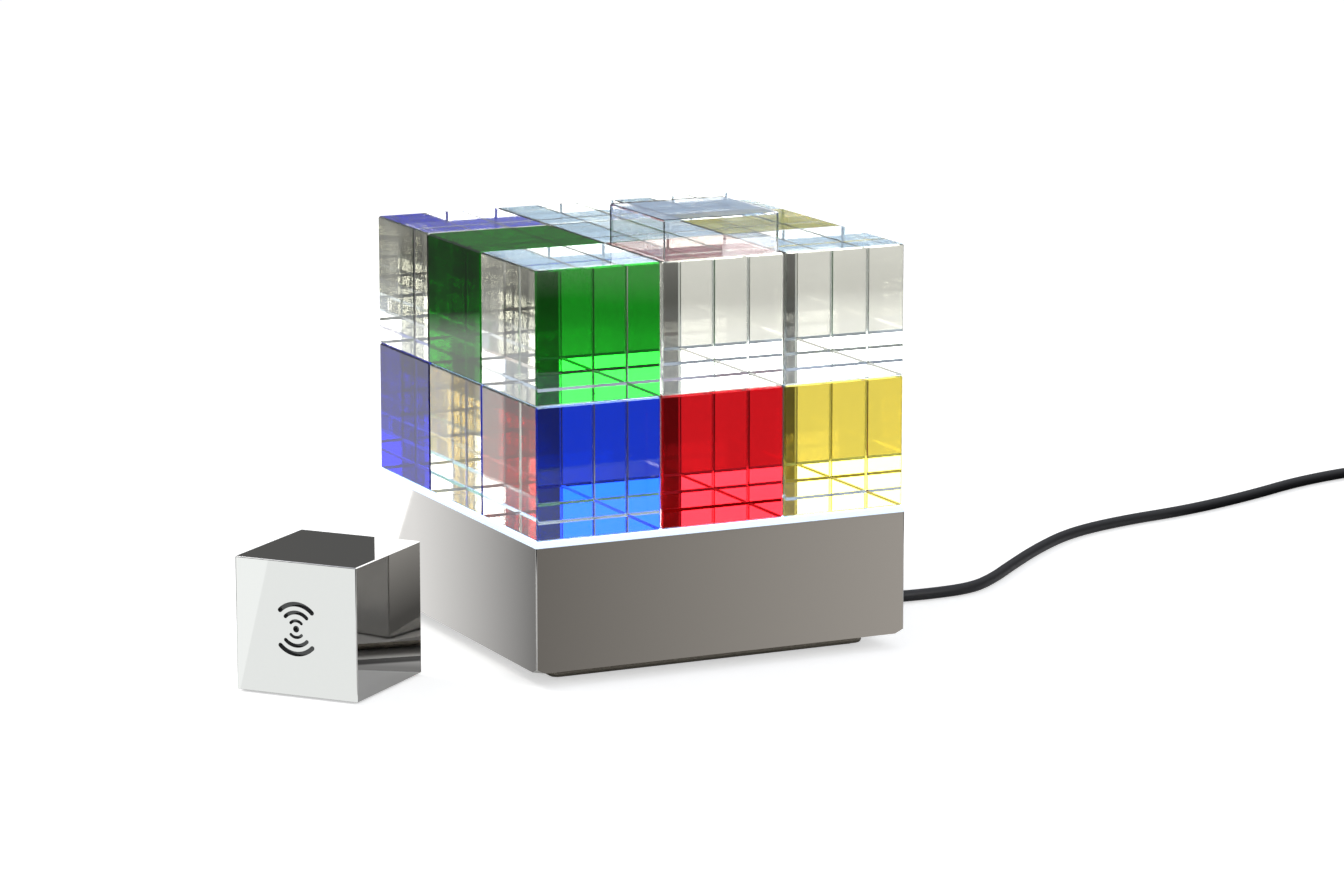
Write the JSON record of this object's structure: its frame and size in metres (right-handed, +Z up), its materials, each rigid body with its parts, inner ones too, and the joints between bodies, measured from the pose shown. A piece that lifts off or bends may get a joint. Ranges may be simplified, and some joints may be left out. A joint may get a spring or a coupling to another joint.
{
  "type": "table light with glass cubes",
  "caption": "Low square metal table light whose glowing opal top carries loose clear and coloured glass cubes, with a metal cube controller and a plug-in lead.",
  "frame": {"origin": "on the table, under the middle of the square base, at the lower face of its soft pad", "axes": "+Z up; -Y out of the front wall; +X towards the side where the lead leaves"},
  "size_m": [0.6824, 0.2026, 0.1705],
  "materials": {
    "polished_steel": "mirror-polished stainless sheet, finely brushed",
    "controller_steel": "mirror-polished stainless steel",
    "soft_pad": "black soft foam rubber",
    "screw_steel": "zinc-plated steel screws",
    "zinc_plate": "zinc-plated steel sheet",
    "aluminium_parts": "milled aluminium",
    "white_board": "white solder mask on an aluminium core",
    "led_package": "moulded light source",
    "white_plastic": "moulded white polycarbonate",
    "opal_acrylic": "glowing opal acrylic",
    "green_board": "green solder mask",
    "black_plastic": "moulded black plastic",
    "capacitor_can": "sleeved aluminium can",
    "green_terminal": "moulded green plastic",
    "ribbon_jacket": "grey wire ribbon",
    "lead_jacket": "matte black flexible jacket",
    "plated_brass": "nickel-plated brass",
    "black_window": "glossy black acrylic",
    "battery_cell": "sleeved battery cell",
    "clear_glass": "polished clear crystal glass",
    "green_glass": "polished green crystal glass",
    "blue_glass": "polished cobalt blue crystal glass",
    "red_glass": "polished red crystal glass",
    "yellow_glass": "polished yellow crystal glass",
    "clear_acrylic": "clear moulded acrylic, thin-walled"
  },
  "bodies": {
    "base": {"housing_shell": "polished_steel", "plinth_pan": "polished_steel", "base_pad": "soft_pad", "pan_screws": "screw_steel", "chassis_plate": "zinc_plate", "led_posts": "aluminium_parts", "post_screws": "screw_steel", "heat_spreader": "aluminium_parts", "led_board": "white_board", "led_chips": "led_package", "light_box": "white_plastic", "diffuser_panel": "opal_acrylic", "driver_board": "green_board", "board_standoffs": "aluminium_parts", "board_screws": "screw_steel", "power_choke": "black_plastic", "filter_capacitors": "capacitor_can", "driver_chips": "black_plastic", "radio_module": "zinc_plate", "supply_terminal": "green_terminal", "driver_connector": "white_plastic", "led_connector": "white_plastic", "led_ribbon": "ribbon_jacket", "cord_strain_relief": "lead_jacket", "inner_lead": "lead_jacket", "power_lead": "lead_jacket", "power_lead_coil": "lead_jacket", "adapter_back_shell": "black_plastic", "adapter_front_shell": "black_plastic", "adapter_pins": "plated_brass", "adapter_strain_relief": "lead_jacket", "adapter_circuit": "green_board"},
    "clear_cube_01": {"clear_cube_01": "clear_glass"},
    "clear_cube_07": {"clear_cube_07": "clear_glass"},
    "red_cube": {"red_cube": "red_glass"},
    "clear_cube_08": {"clear_cube_08": "clear_glass"},
    "clear_cube_02": {"clear_cube_02": "clear_glass"},
    "clear_cube_09": {"clear_cube_09": "clear_glass"},
    "clear_cube_03": {"clear_cube_03": "clear_glass"},
    "green_cube": {"green_cube": "green_glass"},
    "clear_cube_04": {"clear_cube_04": "clear_glass"},
    "clear_cube_10": {"clear_cube_10": "clear_glass"},
    "yellow_cube": {"yellow_cube": "yellow_glass"},
    "clear_cube_11": {"clear_cube_11": "clear_glass"},
    "blue_cube": {"blue_cube": "blue_glass"},
    "clear_cube_12": {"clear_cube_12": "clear_glass"},
    "clear_cube_05": {"clear_cube_05": "clear_glass"},
    "clear_cube_13": {"clear_cube_13": "clear_glass"},
    "clear_cube_06": {"clear_cube_06": "clear_glass"},
    "clear_cube_14": {"clear_cube_14": "clear_glass"},
    "clear_cap": {"clear_cap": "clear_acrylic"},
    "controller": {"controller_shell": "controller_steel", "controller_window": "black_window", "controller_cover": "black_plastic", "controller_foot": "soft_pad", "controller_screws": "screw_steel", "controller_circuit": "green_board", "controller_cells": "battery_cell", "cell_cradle": "black_plastic"}
  },
  "joints": [
    {"name": "lift_clear_cube_01", "type": "slide", "parent": "base", "child": "clear_cube_01", "axis": [0, 0, 1], "range_m": [0, 0.105]},
    {"name": "lift_clear_cube_07", "type": "slide", "parent": "clear_cube_01", "child": "clear_cube_07", "axis": [0, 0, 1], "range_m": [0, 0.055]},
    {"name": "lift_red_cube", "type": "slide", "parent": "base", "child": "red_cube", "axis": [0, 0, 1], "range_m": [0, 0.105]},
    {"name": "lift_clear_cube_08", "type": "slide", "parent": "red_cube", "child": "clear_cube_08", "axis": [0, 0, 1], "range_m": [0, 0.055]},
    {"name": "lift_clear_cube_02", "type": "slide", "parent": "base", "child": "clear_cube_02", "axis": [0, 0, 1], "range_m": [0, 0.105]},
    {"name": "lift_clear_cube_09", "type": "slide", "parent": "clear_cube_02", "child": "clear_cube_09", "axis": [0, 0, 1], "range_m": [0, 0.055]},
    {"name": "lift_clear_cube_03", "type": "slide", "parent": "base", "child": "clear_cube_03", "axis": [0, 0, 1], "range_m": [0, 0.105]},
    {"name": "lift_green_cube", "type": "slide", "parent": "clear_cube_03", "child": "green_cube", "axis": [0, 0, 1], "range_m": [0, 0.055]},
    {"name": "lift_clear_cube_04", "type": "slide", "parent": "base", "child": "clear_cube_04", "axis": [0, 0, 1], "range_m": [0, 0.105]},
    {"name": "lift_clear_cube_10", "type": "slide", "parent": "clear_cube_04", "child": "clear_cube_10", "axis": [0, 0, 1], "range_m": [0, 0.055]},
    {"name": "lift_yellow_cube", "type": "slide", "parent": "base", "child": "yellow_cube", "axis": [0, 0, 1], "range_m": [0, 0.105]},
    {"name": "lift_clear_cube_11", "type": "slide", "parent": "yellow_cube", "child": "clear_cube_11", "axis": [0, 0, 1], "range_m": [0, 0.055]},
    {"name": "lift_blue_cube", "type": "slide", "parent": "base", "child": "blue_cube", "axis": [0, 0, 1], "range_m": [0, 0.105]},
    {"name": "lift_clear_cube_12", "type": "slide", "parent": "blue_cube", "child": "clear_cube_12", "axis": [0, 0, 1], "range_m": [0, 0.055]},
    {"name": "lift_clear_cube_05", "type": "slide", "parent": "base", "child": "clear_cube_05", "axis": [0, 0, 1], "range_m": [0, 0.105]},
    {"name": "lift_clear_cube_13", "type": "slide", "parent": "clear_cube_05", "child": "clear_cube_13", "axis": [0, 0, 1], "range_m": [0, 0.055]},
    {"name": "lift_clear_cube_06", "type": "slide", "parent": "base", "child": "clear_cube_06", "axis": [0, 0, 1], "range_m": [0, 0.105]},
    {"name": "lift_clear_cube_14", "type": "slide", "parent": "clear_cube_06", "child": "clear_cube_14", "axis": [0, 0, 1], "range_m": [0, 0.055]},
    {"name": "lift_clear_cap", "type": "slide", "parent": "clear_cube_08", "child": "clear_cap", "axis": [0, 0, 1], "range_m": [0, 0.02]},
    {"name": "lift_controller", "type": "slide", "parent": "base", "child": "controller", "axis": [0, 0, 1], "range_m": [0, 0.12]}
  ]
}
